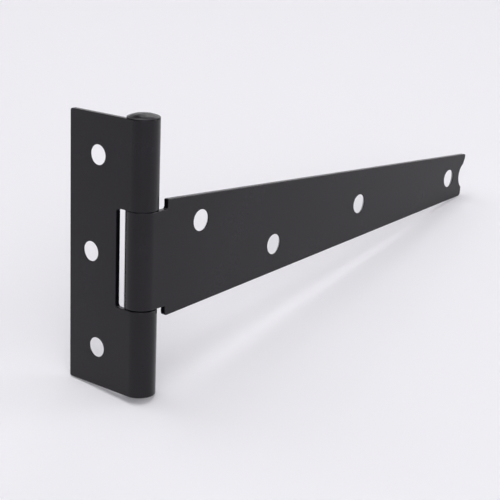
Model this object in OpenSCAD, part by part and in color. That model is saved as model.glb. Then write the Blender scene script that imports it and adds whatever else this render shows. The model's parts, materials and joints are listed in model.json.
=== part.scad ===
// Light tee hinge: a short cross leaf and a long tapered strap, each one strip of
// sheet rolled round a headed pin. The strap stands square to the cross leaf.
// Origin: midway between the cross leaf's two outer screw holes, on its mounting face.
// +Z runs along the pin, +Y points away from the post, +X points from the origin to the pin.

/* [Sheet] */
// Thickness of the sheet that both leaves are cut from
sheet = 1.45; // [1.2:0.05:1.5]
// Straight part of each screw hole, next to the mounting face
hole_land = 0.25; // [0.2:0.05:0.6]
// Included angle of the countersinks
countersink_angle = 90; // [82:1:90]

/* [Knuckles] */
// Outside diameter of the rolled knuckles
knuckle_d = 8.4; // [7.8:0.1:8.6]
// Gap between the end of each roll and the back of its leaf
roll_gap = 0.35; // [0.1:0.05:0.8]
// Free play of the strap's knuckle along the pin
axial_play = 0.4; // [0.4:0.1:1.2]
// Height of the strap above the middle of the cross leaf
strap_rise = 0.2; // [0:0.05:0.2]

/* [Cross leaf] */
// Height of the cross leaf
leaf_h = 71.5; // [68:0.5:80]
// Distance from the pin's axis to the free edge of the cross leaf
leaf_reach = 21.3; // [20:0.1:26]
// Corner radius of the free edge
leaf_corner_r = 0.6; // [0.2:0.1:3]
// Diameter of the cross leaf's screw holes
leaf_hole_d = 5.2; // [4:0.1:6]
// Distance between the two outer screw holes
leaf_hole_pitch = 50.6; // [46:0.1:54]
// Distance from the pin's axis to the outer screw holes
outer_hole_reach = 11.4; // [10:0.1:13]
// Distance from the pin's axis to the middle screw hole
middle_hole_reach = 13.7; // [12:0.1:15]
// Height of the window that the strap turns in
window_h = 25.7; // [22:0.1:30]
// Height of the window's middle above the middle of the cross leaf
window_rise = 0.1; // [0.05:0.05:0.2]
// Distance from the pin's axis to the side of the window
window_reach = 4.8; // [4.8:0.1:6]
// Corner radius of the window
window_r = 0.8; // [0.4:0.1:2]

/* [Strap] */
// Length of the strap from the pin's axis to its tip
strap_len = 150; // [140:1:200]
// Width of the strap at its root
strap_root_w = 30.4; // [29:0.1:40]
// Width of the strap at its tip
strap_tip_w = 13.7; // [13:0.1:18]
// Distance from the pin's axis to the upper shoulder
shoulder_reach = 4.9; // [4.9:0.1:8]
// Distance that the lower shoulder lies nearer to the pin
shoulder_offset = 0.4; // [0:0.1:0.4]
// Diameter of the strap's screw holes
strap_hole_d = 5.7; // [4:0.1:6]
// How much shorter the lower horn of the tip is than the upper one
horn_offset = 1.5; // [0:0.1:2]
// Radius of the scoop in the tip
scoop_r = 4.6; // [4.4:0.1:5]
// Depth of the scoop below the end of the upper horn
scoop_depth = 3.3; // [3:0.1:4]

/* [Pin] */
// Radial clearance of the pin in the knuckles
pin_clearance = 0.05; // [0.02:0.01:0.1]
// Diameter of the head on the pin's upper end
head_d = 8.4; // [7:0.1:8.6]
// Height of the straight edge of the head
head_edge = 0.4; // [0.2:0.1:0.8]
// Height of the dome on the head
head_dome = 0.9; // [0.5:0.1:1.5]
// Diameter of the peened lower end
peen_d = 6.4; // [6.2:0.1:8]
// Height of the straight edge of the peened end
peen_edge = 0.3; // [0.1:0.1:0.6]
// Height of the dome on the peened end
peen_dome = 0.7; // [0.4:0.1:1.2]

/* [Hidden] */
$fn = 96;
coat = [0.13, 0.13, 0.14];
// Steps in each rounded corner of an outline
corner_steps = 8;
// Overshoot of the cutting tools
over = 0.5;

knuckle_r = knuckle_d / 2;
bore_r = knuckle_r - sheet;
pin_r = bore_r - pin_clearance;
// The roll leaves its leaf at a tangent and turns until its end is roll_gap short of the leaf
roll_angle = 270 + asin((bore_r - roll_gap) / knuckle_r);

// Strap: half width at a distance from the pin, from a straight taper
taper = (strap_root_w - strap_tip_w) / 2 / (strap_len - shoulder_reach);
function strap_half_w(reach) = strap_tip_w / 2 + taper * (strap_len - reach);
neck_h = window_h - axial_play;

// Lower and upper edge of the window
window_foot = window_rise - window_h / 2;
window_head = window_rise + window_h / 2;

// Strap screw holes: distance from the pin's axis, offset from the centre line
strap_holes = [[17.5, 7.6], [48.3, -4.7], [89, 0], [140.3, 0]];

// Tip: the upper horn has a flat end and a bevel that runs into the scoop
horn_flat = 1.2;
bevel_len = 1.1;
bevel_end = 3.4;
scoop_centre = [strap_len - scoop_depth + scoop_r, -0.35];

function unit(v) = v / norm(v);
function turn(from, to) = (to - from + 540) % 360 - 180;

// Arc that replaces corner b between its neighbours a and c
function corner_arc(a, b, c, r) =
    let (
        u = unit(a - b),
        v = unit(c - b),
        half = acos(u * v) / 2,
        centre = b + unit(u + v) * r / sin(half),
        first = b + u * r / tan(half) - centre,
        last = b + v * r / tan(half) - centre,
        start = atan2(first.y, first.x),
        sweep = turn(start, atan2(last.y, last.x))
    )
    [for (i = [0 : corner_steps]) centre + r * [cos(start + sweep * i / corner_steps),
                                                sin(start + sweep * i / corner_steps)]];

// Outline with rounded corners, from points that each hold x, y and the corner's radius
function rounded(pts) =
    let (n = len(pts), at = [for (p = pts) [p.x, p.y]])
    [for (i = [0 : n - 1])
        each pts[i].z == 0
            ? [at[i]]
            : corner_arc(at[(i + n - 1) % n], at[i], at[(i + 1) % n], pts[i].z)];

// One roll of sheet round the pin, starting below the axis and turning towards +X
module roll(height) {
    rotate([0, 0, -90])
        rotate_extrude(angle = roll_angle)
            translate([bore_r, 0])
                square([sheet, height]);
}

// Countersunk screw hole through a sheet whose mounting face is z = 0
module screw_hole(d) {
    sink = sheet - hole_land + over;
    translate([0, 0, -over])
        cylinder(d = d, h = sheet + 2 * over);
    translate([0, 0, hole_land])
        cylinder(d1 = d, d2 = d + 2 * sink * tan(countersink_angle / 2), h = sink);
}

// Stands a flat blank up on the pin's axis, with its mounting face at y = -knuckle_r
module stand_up() {
    translate([0, -knuckle_r, 0])
        rotate([90, 0, 0])
            mirror([0, 0, 1])
                children();
}

// Flat part of the cross leaf: reach from the pin's axis along -X, height along Y
module cross_blank() {
    edge = leaf_h / 2;
    outline = rounded([
        [0, edge, 0],
        [-leaf_reach, edge, leaf_corner_r],
        [-leaf_reach, -edge, leaf_corner_r],
        [0, -edge, 0],
        [0, window_foot, 0],
        [-window_reach, window_foot, window_r],
        [-window_reach, window_head, window_r],
        [0, window_head, 0]
    ]);
    difference() {
        linear_extrude(sheet)
            polygon(outline);
        for (end = [-1, 1])
            translate([-outer_hole_reach, end * leaf_hole_pitch / 2, 0])
                screw_hole(leaf_hole_d);
        translate([-middle_hole_reach, 0, 0])
            screw_hole(leaf_hole_d);
    }
}

// Flat part of the strap: reach from the pin's axis along X, height along Y
module strap_blank() {
    neck = neck_h / 2;
    low_shoulder = shoulder_reach - shoulder_offset;
    low_horn = strap_len - horn_offset;
    outline = rounded([
        [0, neck, 0],
        [shoulder_reach, neck, 0.7],
        [shoulder_reach, strap_half_w(shoulder_reach), 0.35],
        [strap_len, strap_half_w(strap_len), 0.4],
        [strap_len, strap_half_w(strap_len) - horn_flat, 0],
        [strap_len - bevel_len, bevel_end, 0],
        [low_horn, -bevel_end, 0],
        [low_horn, -strap_half_w(low_horn), 1.3],
        [low_shoulder, -strap_half_w(low_shoulder), 0.7],
        [low_shoulder, -neck, 0.2],
        [0, -neck, 0]
    ]);
    difference() {
        linear_extrude(sheet)
            difference() {
                polygon(outline);
                translate(scoop_centre)
                    circle(scoop_r);
            }
        for (hole = strap_holes)
            translate([hole.x, hole.y, 0])
                screw_hole(strap_hole_d);
    }
}

// Moves a piece drawn on the pin's axis to its place in the part's frame
module on_pin_axis() {
    translate([outer_hole_reach, knuckle_r, 0])
        children();
}

module cross_leaf() {
    color(coat)
        on_pin_axis() {
            stand_up()
                cross_blank();
            translate([0, 0, -leaf_h / 2])
                roll(leaf_h / 2 + window_foot);
            translate([0, 0, window_head])
                roll(leaf_h / 2 - window_head);
        }
}

module strap_leaf() {
    color(coat)
        on_pin_axis()
            translate([0, 0, strap_rise])
                rotate([0, 0, 90]) {
                    stand_up()
                        strap_blank();
                    translate([0, 0, -neck_h / 2])
                        mirror([1, 0, 0])
                            roll(neck_h);
                }
}

// Low dome on a straight edge, standing on z = 0
module pin_end(d, edge, dome) {
    dome_r = (pow(d / 2, 2) + pow(dome, 2)) / (2 * dome);
    top = edge + dome;
    intersection() {
        cylinder(d = d, h = top);
        translate([0, 0, top - dome_r])
            sphere(dome_r);
    }
}

module hinge_pin() {
    color(coat)
        on_pin_axis() {
            cylinder(r = pin_r, h = leaf_h, center = true);
            translate([0, 0, leaf_h / 2])
                pin_end(head_d, head_edge, head_dome);
            mirror([0, 0, 1])
                translate([0, 0, leaf_h / 2])
                    pin_end(peen_d, peen_edge, peen_dome);
        }
}

cross_leaf();
strap_leaf();
hinge_pin();
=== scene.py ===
"""Looks of a light tee hinge: two leaves of powder-coated sheet, rolled round a headed pin."""

import json
import math

import bmesh
import bpy
from mathutils import Matrix, Vector, noise
from mathutils.geometry import delaunay_2d_cdt


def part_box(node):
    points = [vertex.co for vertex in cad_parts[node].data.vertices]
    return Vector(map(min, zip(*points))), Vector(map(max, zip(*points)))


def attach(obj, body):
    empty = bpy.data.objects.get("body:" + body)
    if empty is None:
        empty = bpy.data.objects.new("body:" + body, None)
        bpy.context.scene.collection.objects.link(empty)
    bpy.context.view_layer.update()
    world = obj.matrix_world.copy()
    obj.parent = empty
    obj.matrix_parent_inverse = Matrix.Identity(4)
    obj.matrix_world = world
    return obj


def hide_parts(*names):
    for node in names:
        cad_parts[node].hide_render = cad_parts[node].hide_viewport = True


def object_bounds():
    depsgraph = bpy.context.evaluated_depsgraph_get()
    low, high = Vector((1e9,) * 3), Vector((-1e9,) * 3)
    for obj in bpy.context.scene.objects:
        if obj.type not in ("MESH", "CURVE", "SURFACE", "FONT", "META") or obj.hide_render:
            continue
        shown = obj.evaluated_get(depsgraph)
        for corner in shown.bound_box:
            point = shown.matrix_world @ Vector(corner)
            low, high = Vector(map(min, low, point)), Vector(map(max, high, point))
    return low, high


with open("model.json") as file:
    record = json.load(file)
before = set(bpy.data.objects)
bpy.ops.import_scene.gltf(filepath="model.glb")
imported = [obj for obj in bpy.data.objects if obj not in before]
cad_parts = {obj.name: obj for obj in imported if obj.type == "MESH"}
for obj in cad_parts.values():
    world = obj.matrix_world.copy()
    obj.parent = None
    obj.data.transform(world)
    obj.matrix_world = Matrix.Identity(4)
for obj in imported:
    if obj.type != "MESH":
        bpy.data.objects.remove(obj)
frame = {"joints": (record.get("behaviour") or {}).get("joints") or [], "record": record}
cad_low, cad_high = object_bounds()

MM = 0.001
UP = Vector((0, 0, 1))
TINY = 1e-9

# Places and sizes that the frame gives
MOUNTS = {mount["name"]: mount for mount in frame["record"]["mounts"]}
PIN_AXIS = Vector(frame["joints"][0]["pos_m"])
CROSS_LOW, CROSS_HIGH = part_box("cross_leaf")
STRAP_LOW, STRAP_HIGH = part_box("strap_leaf")
PIN_LOW, PIN_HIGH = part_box("hinge_pin")
KNUCKLE_R = (CROSS_HIGH.y - CROSS_LOW.y) / 2
CENTRE = (cad_low + cad_high) / 2

# Sheet
SHEET = 1.45 * MM
BLANK_EDGE_R = 0.14 * MM  # rounding of the coated edges
SKIRT = 0.12 * MM  # flat margin next to each rounded edge
SHARP_R = 2 * BLANK_EDGE_R  # least rounding of a blank's corners
ROLL_GAP = 0.35 * MM
ROLL_STEPS = 72
END_OF_SIDE = 1e-4  # share of a side within which a column meets its end
ON_COLUMN = 1e-7  # distance in metres within which a point lies on a column
CORNER_STEPS = 8
RIM_STEPS = 4
HOLE_STEPS = 72
FLAT_WEIGHT = 80  # how much the flats outweigh the rounded edges in the shading

# Screw holes
HOLE_RIM_R = 0.07 * MM
SINK_RIM_R = 0.12 * MM
LAND = MOUNTS["strap_tip_screw"]["dims"]["length_mm"] * MM

# Cross leaf
LEAF_CORNER_R = 0.6 * MM
WINDOW_R = 0.8 * MM
WINDOW_REACH = 4.8 * MM
WINDOW_H = 25.7 * MM
WINDOW_RISE = 0.1 * MM

# Strap
STRAP_RISE = (STRAP_HIGH.z + STRAP_LOW.z) / 2
AXIAL_PLAY = 0.4 * MM
SHOULDER_REACH = 4.9 * MM
SHOULDER_OFFSET = 0.4 * MM
ROOT_W = 30.4 * MM
TIP_W = 13.7 * MM
UPPER_NECK_R = 0.7 * MM
UPPER_SHOULDER_R = 0.35 * MM
LOWER_NECK_R = 0.2 * MM
LOWER_SHOULDER_R = 0.7 * MM
UPPER_HORN_R = 0.4 * MM
LOWER_HORN_R = 1.3 * MM
HORN_OFFSET = 1.5 * MM
HORN_FLAT = 1.2 * MM
BEVEL = Vector((-1.1 * MM, -2.25 * MM))
SCOOP_R = 4.6 * MM
SCOOP_DEPTH = 3.3 * MM
SCOOP_DROP = 0.35 * MM

# Pin
SHAFT_CLEARANCE = 0.05 * MM
HEAD_EDGE = 0.4 * MM
PEEN_D = 6.4 * MM
PEEN_EDGE = 0.3 * MM
UNDER_RIM = 0.55  # rounding below an end's straight edge, as a share of that edge
RIM = 0.7  # rounding above it, as a share of the same edge
DOME_RINGS = 14
DOME_SHARE = 0.88  # radius of the dome's widest ring, as a share of the end's
DENTS = 0.10 * MM
DENT_SCALE = 520
DENT_ROUGHNESS = 0.8
DENT_LACUNARITY = 2.4
DENT_OCTAVES = 3
DENT_LEVEL = 0.6  # noise value at which the surface lies on its true dome
DENT_EASE = 0.5 * MM  # height over which the dents set in
LATHE_STEPS = 96


# Outlines ---------------------------------------------------------------------------------

def fillet(before, corner, after, radius, steps):
    """Points of the arc that rounds one corner."""
    to_before = (before - corner).normalized()
    to_after = (after - corner).normalized()
    half = to_before.angle(to_after) / 2
    middle = corner + (to_before + to_after).normalized() * radius / math.sin(half)
    first = corner + to_before * radius / math.tan(half) - middle
    last = corner + to_after * radius / math.tan(half) - middle
    sweep = first.angle_signed(last)
    return [middle + Matrix.Rotation(-sweep * i / steps, 2) @ first for i in range(steps + 1)]


def rounded(corners, closed, steps):
    """A path through corners of (x, y, radius), as (point, is_on_an_arc) pairs."""
    places = [Vector(c[:2]) for c in corners]
    count = len(corners)
    path = []
    for i, (place, corner) in enumerate(zip(places, corners)):
        at_end = not closed and i in (0, count - 1)
        if at_end or corner[2] == 0:
            path.append((place, False))
        else:
            arc = fillet(places[i - 1], place, places[(i + 1) % count], corner[2], steps)
            path += [(point, True) for point in arc]
    return path


def cut_at_columns(loop, columns):
    """Adds a point to every side of a closed loop where it crosses one of the roll's columns."""
    cut = []
    for i, start in enumerate(loop):
        end = loop[(i + 1) % len(loop)]
        cut.append(start)
        run = end.x - start.x
        if abs(run) < TINY:
            continue
        shares = sorted((column - start.x) / run for column in columns)
        cut += [start.lerp(end, share) for share in shares
                if END_OF_SIDE < share < 1 - END_OF_SIDE]
    return cut


def inward(loop):
    """For each point, the step that moves both of its sides one unit into the material."""
    steps = []
    for i, here in enumerate(loop):
        along = (here - loop[i - 1]).normalized()
        onward = (loop[(i + 1) % len(loop)] - here).normalized()
        left = Vector((-along.y, along.x))
        next_left = Vector((-onward.y, onward.x))
        steps.append((left + next_left) / (1 + left.dot(next_left)))
    return steps


def inside(point, loop):
    """True if a point lies in a closed loop."""
    hits = 0
    for i, b in enumerate(loop):
        a = loop[i - 1]
        if (a.y > point.y) != (b.y > point.y):
            hits += point.x < a.x + (point.y - a.y) / (b.y - a.y) * (b.x - a.x)
    return hits % 2 == 1


# Sheet ------------------------------------------------------------------------------------

class Leaf:
    """Lays a flat blank on a leaf whose root is rolled round the pin.

    Reach runs along the leaf from the pin's axis, and is negative on the roll. Height runs
    along the pin, and depth goes through the sheet from the mounting face.
    """

    def __init__(self, along, out, rise):
        self.along = Vector(along)
        self.out = Vector(out)
        self.rise = rise

    def place(self, flat, depth):
        radius = KNUCKLE_R - depth
        turned = max(0, -flat.x) / KNUCKLE_R
        round_pin = self.out * math.cos(turned) - self.along * math.sin(turned)
        level = UP * (flat.y + self.rise)
        return PIN_AXIS + self.along * max(0, flat.x) + round_pin * radius + level


def roll_length():
    """Length of the rolled stretch of a blank, measured on its mounting face."""
    bore_r = KNUCKLE_R - SHEET
    return KNUCKLE_R * (1.5 * math.pi + math.asin((bore_r - ROLL_GAP) / KNUCKLE_R))


def edge_section():
    """Section through a cut edge, from face to face: (inset, depth, radius) corners."""
    margin = BLANK_EDGE_R + SKIRT
    return [
        (margin, 0, 0),
        (0, 0, BLANK_EDGE_R),
        (0, SHEET, BLANK_EDGE_R),
        (margin, SHEET, 0),
    ]


def hole_section():
    """Section through a countersunk hole's wall, from the mounting face to the other."""
    sink = SHEET - LAND
    return [
        (HOLE_RIM_R + SKIRT, 0, 0),
        (0, 0, HOLE_RIM_R),
        (0, LAND, HOLE_RIM_R),
        (sink / 2, LAND + sink / 2, 0),
        (sink, SHEET, SINK_RIM_R),
        (sink + SINK_RIM_R + SKIRT, SHEET, 0),
    ]


def hole_loop(centre, radius):
    turns = [-2 * math.pi * i / HOLE_STEPS for i in range(HOLE_STEPS)]
    return [centre + Vector((math.cos(t), math.sin(t))) * radius for t in turns]


def loft(mesh, wear, leaf, loop, section):
    """The wall that follows a loop. Returns its two end rings as (flat point, vertex) pairs."""
    steps = inward(loop)
    rings = []
    for (inset, depth), on_arc in rounded(section, False, RIM_STEPS):
        ring = []
        for point, step in zip(loop, steps):
            flat = point + step * inset
            vertex = mesh.verts.new(leaf.place(flat, depth))
            vertex[wear] = on_arc
            ring.append((flat, vertex))
        rings.append(ring)
    for ring, following in zip(rings, rings[1:]):
        for i in range(len(loop)):
            corners = (ring[i - 1], ring[i], following[i], following[i - 1])
            mesh.faces.new([vertex for _, vertex in corners])
    return rings[0], rings[-1]


def fill(mesh, leaf, rings, columns, depth):
    """One face of the sheet, between the rings at that depth. Columns keep the roll round."""
    outer = [flat for flat, _ in rings[0]]
    points, vertices, edges = [], [], []
    for ring in rings:
        first = len(points)
        points += [flat for flat, _ in ring]
        vertices += [vertex for _, vertex in ring]
        edges += [(first + i, first + (i + 1) % len(ring)) for i in range(len(ring))]
    for column in columns:
        met = sorted((p.y, i) for i, p in enumerate(outer) if abs(p.x - column) < ON_COLUMN)
        edges += [(met[i][1], met[i + 1][1]) for i in range(0, len(met) - 1, 2)]
    found = delaunay_2d_cdt(points, edges, [], 0, TINY, True)
    holes = [[flat for flat, _ in ring] for ring in rings[1:]]
    places, triangles, sources = found[0], found[2], found[3]
    for triangle in triangles:
        middle = sum((places[i] for i in triangle), Vector((0, 0))) / 3
        if inside(middle, outer) and not any(inside(middle, hole) for hole in holes):
            mesh.faces.new([vertices[sources[i][0]] for i in triangle])


def sheet_leaf(name, leaf, outline, holes):
    """A leaf cut from sheet, rolled round the pin, with countersunk holes."""
    mesh = bmesh.new()
    wear = mesh.verts.layers.float.new("worn_edge")
    columns = [-roll_length() * i / ROLL_STEPS for i in range(ROLL_STEPS)]
    walls = [loft(mesh, wear, leaf, cut_at_columns(outline, columns), edge_section())]
    for centre, radius in holes:
        walls.append(loft(mesh, wear, leaf, hole_loop(centre, radius), hole_section()))
    fill(mesh, leaf, [wall[0] for wall in walls], columns, 0)
    fill(mesh, leaf, [wall[1] for wall in walls], columns, SHEET)
    return finished(name, mesh)


def smooth_object(name, mesh):
    """An object in the scene from a mesh, shaded smooth."""
    bmesh.ops.recalc_face_normals(mesh, faces=mesh.faces)
    for face in mesh.faces:
        face.smooth = True
    data = bpy.data.meshes.new(name)
    mesh.to_mesh(data)
    mesh.free()
    piece = bpy.data.objects.new(name, data)
    bpy.context.scene.collection.objects.link(piece)
    return piece


def finished(name, mesh):
    """A piece from a closed mesh, shaded smooth with its flats kept flat."""
    piece = smooth_object(name, mesh)
    shading = piece.modifiers.new("flat_faces_first", "WEIGHTED_NORMAL")
    shading.weight = FLAT_WEIGHT
    return piece


# Leaves -----------------------------------------------------------------------------------

def cross_outline():
    """The cross leaf's blank: a plate with a window in its rolled side."""
    top = CROSS_HIGH.z
    reach = PIN_AXIS.x - CROSS_LOW.x
    foot = WINDOW_RISE - WINDOW_H / 2
    head = WINDOW_RISE + WINDOW_H / 2
    end = -roll_length()
    corners = [
        (end, top, SHARP_R),
        (end, head, SHARP_R),
        (WINDOW_REACH, head, WINDOW_R),
        (WINDOW_REACH, foot, WINDOW_R),
        (end, foot, SHARP_R),
        (end, -top, SHARP_R),
        (reach, -top, LEAF_CORNER_R),
        (reach, top, LEAF_CORNER_R),
    ]
    return [point for point, _ in rounded(corners, True, CORNER_STEPS)]


def strap_half_w(reach):
    """Half of the strap's width at a distance from the pin's axis."""
    length = STRAP_HIGH.y - PIN_AXIS.y
    taper = (ROOT_W - TIP_W) / 2 / (length - SHOULDER_REACH)
    return TIP_W / 2 + taper * (length - reach)


def scoop(start):
    """The tip's scoop, from where the bevel below start runs into it to the lower horn."""
    length = STRAP_HIGH.y - PIN_AXIS.y
    centre = Vector((length - SCOOP_DEPTH + SCOOP_R, -SCOOP_DROP))
    away = start - centre
    run = BEVEL.normalized()
    half = away.dot(run)
    entry = away - run * (half + math.sqrt(half * half - away.length_squared + SCOOP_R ** 2))
    horn = length - HORN_OFFSET - centre.x
    first = math.atan2(entry.y, entry.x)
    last = math.pi + math.atan2(math.sqrt(SCOOP_R ** 2 - horn ** 2), -horn)
    steps = 3 * CORNER_STEPS
    turns = [first + (last - first) * i / steps for i in range(steps + 1)]
    return [centre + Vector((math.cos(t), math.sin(t))) * SCOOP_R for t in turns]


def strap_outline():
    """The strap's blank: a neck, two shoulders, a long taper and a scooped tip."""
    length = STRAP_HIGH.y - PIN_AXIS.y
    neck = (WINDOW_H - AXIAL_PLAY) / 2
    low_shoulder = SHOULDER_REACH - SHOULDER_OFFSET
    low_horn = length - HORN_OFFSET
    end = -roll_length()
    horn_foot = Vector((length, strap_half_w(length) - HORN_FLAT))
    corners = [
        (end, neck, SHARP_R),
        (end, -neck, SHARP_R),
        (low_shoulder, -neck, LOWER_NECK_R),
        (low_shoulder, -strap_half_w(low_shoulder), LOWER_SHOULDER_R),
        (low_horn, -strap_half_w(low_horn), LOWER_HORN_R),
        *[(point.x, point.y, 0) for point in reversed(scoop(horn_foot))],
        (horn_foot.x, horn_foot.y, SHARP_R),
        (length, strap_half_w(length), UPPER_HORN_R),
        (SHOULDER_REACH, strap_half_w(SHOULDER_REACH), UPPER_SHOULDER_R),
        (SHOULDER_REACH, neck, UPPER_NECK_R),
    ]
    return [point for point, _ in rounded(corners, True, CORNER_STEPS)]


def screw_holes(leaf, names):
    """(flat centre, radius) of each named screw hole, from the record's mounts."""
    holes = []
    for name in names:
        place = Vector(MOUNTS[name]["pos_m"]) - PIN_AXIS
        flat = Vector((place.dot(leaf.along), place.z - leaf.rise))
        holes.append((flat, MOUNTS[name]["dims"]["r_mm"] * MM))
    return holes


def make_cross_leaf():
    leaf = Leaf((-1, 0, 0), (0, -1, 0), 0)
    names = [f"cross_leaf_{place}_screw" for place in ("top", "middle", "bottom")]
    return sheet_leaf("cross_leaf_sheet", leaf, cross_outline(), screw_holes(leaf, names))


def make_strap_leaf():
    leaf = Leaf((0, 1, 0), (1, 0, 0), STRAP_RISE)
    names = [f"strap_{place}_screw" for place in ("root", "second", "third", "tip")]
    return sheet_leaf("strap_leaf_sheet", leaf, strap_outline(), screw_holes(leaf, names))


# Pin --------------------------------------------------------------------------------------

def end_section(width, seat, edge, crown):
    """Section of one end of the pin, from the shaft to the crown: (radius, height, on an arc)."""
    shaft_r = KNUCKLE_R - SHEET - SHAFT_CLEARANCE
    end_r = width / 2
    dome = crown - seat - edge
    dome_r = (end_r ** 2 + dome ** 2) / (2 * dome)
    section = [(shaft_r, 0, 0), (shaft_r, seat, 0), (end_r, seat, edge * UNDER_RIM)]
    section.append((end_r, seat + edge, edge * RIM))
    for k in range(DOME_RINGS):
        radius = DOME_SHARE * end_r * (1 - k / DOME_RINGS)
        section.append((radius, crown - dome_r + math.sqrt(dome_r ** 2 - radius ** 2), 0))
    return [(*point, on_arc) for point, on_arc in rounded(section, False, RIM_STEPS)]


def uneven(place):
    """How far a point of a pressed end lies below its true dome."""
    on_end = min(1, max(0, (abs(place.z) - CROSS_HIGH.z) / DENT_EASE))
    bumps = noise.fractal(place * DENT_SCALE, DENT_ROUGHNESS, DENT_LACUNARITY, DENT_OCTAVES)
    return DENTS * on_end * (DENT_LEVEL - bumps)


def make_pin():
    """The pin: a shaft with a domed head above and a smaller peened end below."""
    mesh = bmesh.new()
    wear = mesh.verts.layers.float.new("worn_edge")
    seat = CROSS_HIGH.z
    head = end_section(PIN_HIGH.x - PIN_LOW.x, seat, HEAD_EDGE, PIN_HIGH.z)
    peen = end_section(PEEN_D, seat, PEEN_EDGE, -PIN_LOW.z)
    section = [(r, -z, arc) for r, z, arc in reversed(peen)] + head[1:]
    rings = []
    for radius, height, on_arc in section:
        ring = []
        for i in range(LATHE_STEPS):
            turn = 2 * math.pi * i / LATHE_STEPS
            place = Vector((math.cos(turn) * radius, math.sin(turn) * radius, height))
            place.z -= math.copysign(uneven(place), height)
            vertex = mesh.verts.new(PIN_AXIS + place)
            vertex[wear] = on_arc
            ring.append(vertex)
        rings.append(ring)
    for ring, following in zip(rings, rings[1:]):
        for i in range(LATHE_STEPS):
            mesh.faces.new((ring[i - 1], ring[i], following[i], following[i - 1]))
    for ring in (rings[0], rings[-1]):
        mesh.faces.new(ring)
    return finished("hinge_pin_coated", mesh)


# Materials --------------------------------------------------------------------------------

# Powder coats: colours where they are thick and thin (the pin's much lighter colour and its fine
# clouds are painted highlights on its domed ends), roughness where the gloss is highest, depth of
# the orange peel, tone added along the edges, and scale of the clouds in the gloss
LEAF_COAT = {
    "dark": (0.002, 0.0015, 0.003),
    "light": (0.006, 0.005, 0.008),
    "gloss": 0.20,
    "peel": 0.004 * MM,
    "thin": 0.4,
    "cloudiness": 90,
}
# The pin's copy of the black coat is made lighter and more finely clouded, which paints mottled
# highlights on its domed ends
PIN_COAT_AND_HIGHLIGHTS = {
    "dark": (0.004, 0.003, 0.005),
    "light": (0.040, 0.038, 0.043),
    "gloss": 0.20,
    "peel": 0.006 * MM,
    "thin": 0.5,
    "cloudiness": 420,
}
NOISE_RANGE = (0.3, 0.7)  # values between which a noise texture is stretched
EDGE_RANGE = (0.2, 1)  # values of worn_edge between which the coat thins
# how far the clouds move the colour toward the light one: random tone on the leaves, painted
# highlights on the pin
CLOUD_AND_HIGHLIGHT_TONE = 0.6
CLOUD_ROUGHNESS = 0.05
GRAIN_ROUGHNESS = 0.04
# Noise textures: scale, detail and roughness, but the clouds' scale is each coat's cloudiness
CLOUD_NOISE = (3, 0.55)
GRAIN_NOISE = (2600, 2, 0.5)
WAVE_NOISE = (55, 1, 0.4)
WAVE_HEIGHT = 0.02 * MM
COAT_IOR = 1.4
COAT_TINT = (1, 0.97, 1, 1)


def shader(name):
    """A new material, its node tree and its Principled shader."""
    material = bpy.data.materials.new(name)
    material.use_nodes = True
    tree = material.node_tree
    return material, tree, tree.nodes["Principled BSDF"]


def noise_texture(tree, coordinates, scale, detail, roughness):
    texture = tree.nodes.new("ShaderNodeTexNoise")
    texture.inputs["Scale"].default_value = scale
    texture.inputs["Detail"].default_value = detail
    texture.inputs["Roughness"].default_value = roughness
    tree.links.new(coordinates, texture.inputs["Vector"])
    return texture.outputs["Fac"]


def mapped(tree, value, low, high, out_low, out_high):
    """Maps a value from one range to another, and holds it at both ends."""
    ramp = tree.nodes.new("ShaderNodeMapRange")
    ramp.inputs["From Min"].default_value = low
    ramp.inputs["From Max"].default_value = high
    ramp.inputs["To Min"].default_value = out_low
    ramp.inputs["To Max"].default_value = out_high
    tree.links.new(value, ramp.inputs["Value"])
    return ramp.outputs["Result"]


def bumped(tree, height, distance, normal=None):
    bump = tree.nodes.new("ShaderNodeBump")
    bump.inputs["Strength"].default_value = 1
    bump.inputs["Distance"].default_value = distance
    tree.links.new(height, bump.inputs["Height"])
    if normal:
        tree.links.new(normal, bump.inputs["Normal"])
    return bump.outputs["Normal"]


def added(tree, a, b):
    total = tree.nodes.new("ShaderNodeMath")
    total.operation = "ADD"
    tree.links.new(a, total.inputs[0])
    tree.links.new(b, total.inputs[1])
    return total.outputs["Value"]


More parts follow.
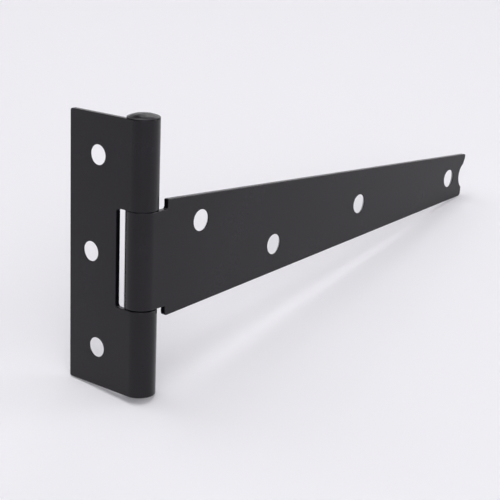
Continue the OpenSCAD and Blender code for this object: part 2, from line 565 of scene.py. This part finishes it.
def powder_coat(name, dark, light, gloss, peel, thin, cloudiness):
    """Satin black powder coat: orange peel, faint waves, cloudy gloss and thinly coated edges,
    with clouds of lighter colour that on the pin are painted highlights.
    """
    material, tree, principled = shader(name)
    place = tree.nodes.new("ShaderNodeTexCoord").outputs["Object"]
    worn = tree.nodes.new("ShaderNodeAttribute")
    worn.attribute_name = "worn_edge"

    cloud = noise_texture(tree, place, cloudiness, *CLOUD_NOISE)
    grain = noise_texture(tree, place, *GRAIN_NOISE)
    # Clouds of lighter colour: random tone on the leaves, painted mottled highlights on the pin
    cloud_and_highlight_tone = mapped(tree, cloud, *NOISE_RANGE, 0, CLOUD_AND_HIGHLIGHT_TONE)
    edge_tone = mapped(tree, worn.outputs["Fac"], *EDGE_RANGE, 0, thin)
    colour = tree.nodes.new("ShaderNodeMix")
    colour.data_type = "RGBA"
    colour.inputs["A"].default_value = (*dark, 1)
    colour.inputs["B"].default_value = (*light, 1)
    tree.links.new(added(tree, cloud_and_highlight_tone, edge_tone), colour.inputs["Factor"])
    tree.links.new(colour.outputs["Result"], principled.inputs["Base Color"])

    cloud_rough = mapped(tree, cloud, *NOISE_RANGE, gloss, gloss + CLOUD_ROUGHNESS)
    grain_rough = mapped(tree, grain, *NOISE_RANGE, 0, GRAIN_ROUGHNESS)
    tree.links.new(added(tree, cloud_rough, grain_rough), principled.inputs["Roughness"])

    waves = noise_texture(tree, place, *WAVE_NOISE)
    surface = bumped(tree, waves, WAVE_HEIGHT)
    surface = bumped(tree, grain, peel, surface)
    tree.links.new(surface, principled.inputs["Normal"])
    principled.inputs["IOR"].default_value = COAT_IOR
    principled.inputs["Specular Tint"].default_value = COAT_TINT
    return material


# Stage ------------------------------------------------------------------------------------

PAPER_COLOUR = (0.81, 0.80, 0.84)
PAPER_GLOW = 0.13
PAPER_NOISE = (900, 3, 0.6)
PAPER_HEIGHT = 0.01 * MM
PAPER_ROUGHNESS = 0.9
PAPER_GLOSS = 0.2
FADE_REACH = (0.4, 0.9)  # distances from the hinge between which the paper fades into the room
HORIZON = 1.05  # brightness of the room at the horizon
CEILING = 0.0  # brightness of the room overhead
ROOM_HEIGHTS = (0.1, 0.4)  # sines of the elevations between which its brightness changes


def mixed_shaders(tree, share, first, second):
    """The first shader where share is 0, and the second where it is 1."""
    mix = tree.nodes.new("ShaderNodeMixShader")
    tree.links.new(share, mix.inputs[0])
    tree.links.new(first, mix.inputs[1])
    tree.links.new(second, mix.inputs[2])
    return mix.outputs["Shader"]


def paper(name):
    """Matt pale paper that fades into the room, and that can't be seen from below."""
    material, tree, principled = shader(name)
    place = tree.nodes.new("ShaderNodeTexCoord").outputs["Object"]
    grain = noise_texture(tree, place, *PAPER_NOISE)
    tree.links.new(bumped(tree, grain, PAPER_HEIGHT), principled.inputs["Normal"])
    principled.inputs["Base Color"].default_value = (*PAPER_COLOUR, 1)
    principled.inputs["Roughness"].default_value = PAPER_ROUGHNESS
    principled.inputs["Specular IOR Level"].default_value = PAPER_GLOSS
    principled.inputs["Emission Color"].default_value = (*PAPER_COLOUR, 1)
    principled.inputs["Emission Strength"].default_value = PAPER_GLOW

    room = tree.nodes.new("ShaderNodeEmission")
    room.inputs["Color"].default_value = (*PAPER_COLOUR, 1)
    room.inputs["Strength"].default_value = HORIZON
    distance = tree.nodes.new("ShaderNodeVectorMath")
    distance.operation = "DISTANCE"
    tree.links.new(place, distance.inputs[0])
    distance.inputs[1].default_value = CENTRE
    fade = mapped(tree, distance.outputs["Value"], *FADE_REACH, 0, 1)
    upper = mixed_shaders(tree, fade, principled.outputs["BSDF"], room.outputs["Emission"])
    nothing = tree.nodes.new("ShaderNodeBsdfTransparent").outputs["BSDF"]
    below = tree.nodes.new("ShaderNodeNewGeometry").outputs["Backfacing"]
    output = tree.nodes["Material Output"]
    tree.links.new(mixed_shaders(tree, below, upper, nothing), output.inputs["Surface"])
    return material


FLOOR_R = 4.0
FLOOR_RINGS = 12
LEAN = Vector((0.1, -0.2, 1)).normalized()  # close to the floor's normal
SETTLE_STEPS = 8


def lowest(piece, up):
    """The point of a piece's mesh that lies lowest along up."""
    return min((vertex.co for vertex in piece.data.vertices), key=up.dot)


def resting_plane(pieces):
    """The floor that the hinge lies on: the middle of its three feet, and its normal.

    The feet are the lowest points of the three pieces: a corner of the cross leaf, the pin's
    lower end and a corner of the strap's tip.
    """
    up = LEAN
    for _ in range(SETTLE_STEPS):
        a, b, c = (lowest(piece, up) for piece in pieces)
        up = (b - a).cross(c - a).normalized()
        up *= math.copysign(1, up.z)
    return (a + b + c) / 3, up


def make_floor(studio):
    """A wide round floor under the hinge."""
    mesh = bmesh.new()
    turns = [2 * math.pi * i / LATHE_STEPS for i in range(LATHE_STEPS)]
    rings = []
    for k in range(1, FLOOR_RINGS + 1):
        radius = FLOOR_R * (k / FLOOR_RINGS) ** 2
        flats = [Vector((radius * math.cos(t), radius * math.sin(t), 0)) for t in turns]
        rings.append([mesh.verts.new(studio @ flat) for flat in flats])
    mesh.faces.new(rings[0])
    for ring, following in zip(rings, rings[1:]):
        for i in range(LATHE_STEPS):
            mesh.faces.new((ring[i - 1], ring[i], following[i], following[i - 1]))
    floor = smooth_object("floor", mesh)
    if floor.data.polygons[0].normal.dot(studio.to_3x3() @ UP) < 0:
        floor.data.flip_normals()
    return floor


LAMP_DISTANCE = 1.3
# Name: azimuth, elevation, side in metres, power in watts
SOFTBOXES = {
    "overhead": (0, 90, 1.2, 10.5),
    "camera_box": (46, 33, 0.8, 3.8),
    "right_box": (95, 33, 0.8, 2.4),
    "strap_box": (136, 10, 0.5, 4),
    "back_box": (-150, 30, 0.6, 1.2),
    "left_box": (-89, 33, 0.8, 1.9),
    "high_left_box": (-89, 60, 0.8, 2.2),
}


def softbox(name, studio, azimuth, elevation, side, power):
    """A square lamp that faces the hinge. Azimuth 0 stands at -Y and 90 at +X."""
    turn = math.radians(azimuth)
    rise = math.radians(elevation)
    level = math.cos(rise)
    away = Vector((math.sin(turn) * level, -math.cos(turn) * level, math.sin(rise)))
    away = studio.to_3x3() @ away
    lamp = bpy.data.lights.new(name, "AREA")
    lamp.shape = "SQUARE"
    lamp.size = side
    lamp.energy = power
    stand = bpy.data.objects.new(name, lamp)
    stand.location = CENTRE + away * LAMP_DISTANCE
    stand.rotation_mode = "QUATERNION"
    stand.rotation_quaternion = (-away).to_track_quat("-Z", "Y")
    bpy.context.scene.collection.objects.link(stand)


def pale_room(up):
    """Surroundings that are as pale as the floor at the horizon, and dimmer above."""
    world = bpy.data.worlds.new("pale_room")
    world.use_nodes = True
    bpy.context.scene.world = world
    tree = world.node_tree
    direction = tree.nodes.new("ShaderNodeTexCoord").outputs["Generated"]
    height = tree.nodes.new("ShaderNodeVectorMath")
    height.operation = "DOT_PRODUCT"
    tree.links.new(direction, height.inputs[0])
    height.inputs[1].default_value = up
    strength = mapped(tree, height.outputs["Value"], *ROOM_HEIGHTS, HORIZON, CEILING)
    background = tree.nodes["Background"]
    background.inputs["Color"].default_value = (*PAPER_COLOUR, 1)
    tree.links.new(strength, background.inputs["Strength"])


def light_studio(studio):
    """Soft boxes all round the hinge, in a pale room."""
    pale_room(studio.to_3x3() @ UP)
    for name, (azimuth, elevation, side, power) in SOFTBOXES.items():
        softbox(name, studio, azimuth, elevation, side, power)
    bpy.context.scene.view_settings.view_transform = "Standard"


CAMERA_PLACE = Vector((229.26, -223.62, 93.16)) * MM
CAMERA_YAW = math.radians(-38.80)
CAMERA_PITCH = math.radians(-15.93)
CAMERA_ROLL = math.radians(2.34)
CAMERA_LENS = 94.41
SENSOR_W = 36
CLIP_START = 10 * MM


def make_camera():
    """The camera, looking down on the hinge from its right, a little over its pin."""
    data = bpy.data.cameras.new("camera")
    data.lens = CAMERA_LENS
    data.sensor_width = SENSOR_W
    data.clip_start = CLIP_START
    camera = bpy.data.objects.new("camera", data)
    turn = Matrix.Rotation(-CAMERA_YAW, 3, "Z")
    tilt = Matrix.Rotation(math.pi / 2 + CAMERA_PITCH, 3, "X")
    roll = Matrix.Rotation(CAMERA_ROLL, 3, "Z")
    camera.rotation_mode = "QUATERNION"
    camera.rotation_quaternion = (turn @ tilt @ roll).to_quaternion()
    camera.location = CAMERA_PLACE
    bpy.context.scene.collection.objects.link(camera)
    bpy.context.scene.camera = camera


def dress(piece, body, node, material):
    """Gives a piece its material, hangs it on its body, and hides the CAD node it stands for."""
    piece.data.materials.append(material)
    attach(piece, body)
    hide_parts(node)


make_camera()
leaf_coat = powder_coat("leaf_powder_coat", **LEAF_COAT)
pin_coat_and_highlights = powder_coat("pin_coat_with_painted_highlights", **PIN_COAT_AND_HIGHLIGHTS)
cross = make_cross_leaf()
strap = make_strap_leaf()
pin = make_pin()
dress(cross, "cross_side", "cross_leaf", leaf_coat)
dress(strap, "strap_side", "strap_leaf", leaf_coat)
dress(pin, "cross_side", "hinge_pin", pin_coat_and_highlights)

rest, floor_up = resting_plane([cross, pin, strap])
studio = Matrix.Translation(rest) @ UP.rotation_difference(floor_up).to_matrix().to_4x4()
floor = make_floor(studio)
floor.data.materials.append(paper("studio_paper"))
light_studio(studio)
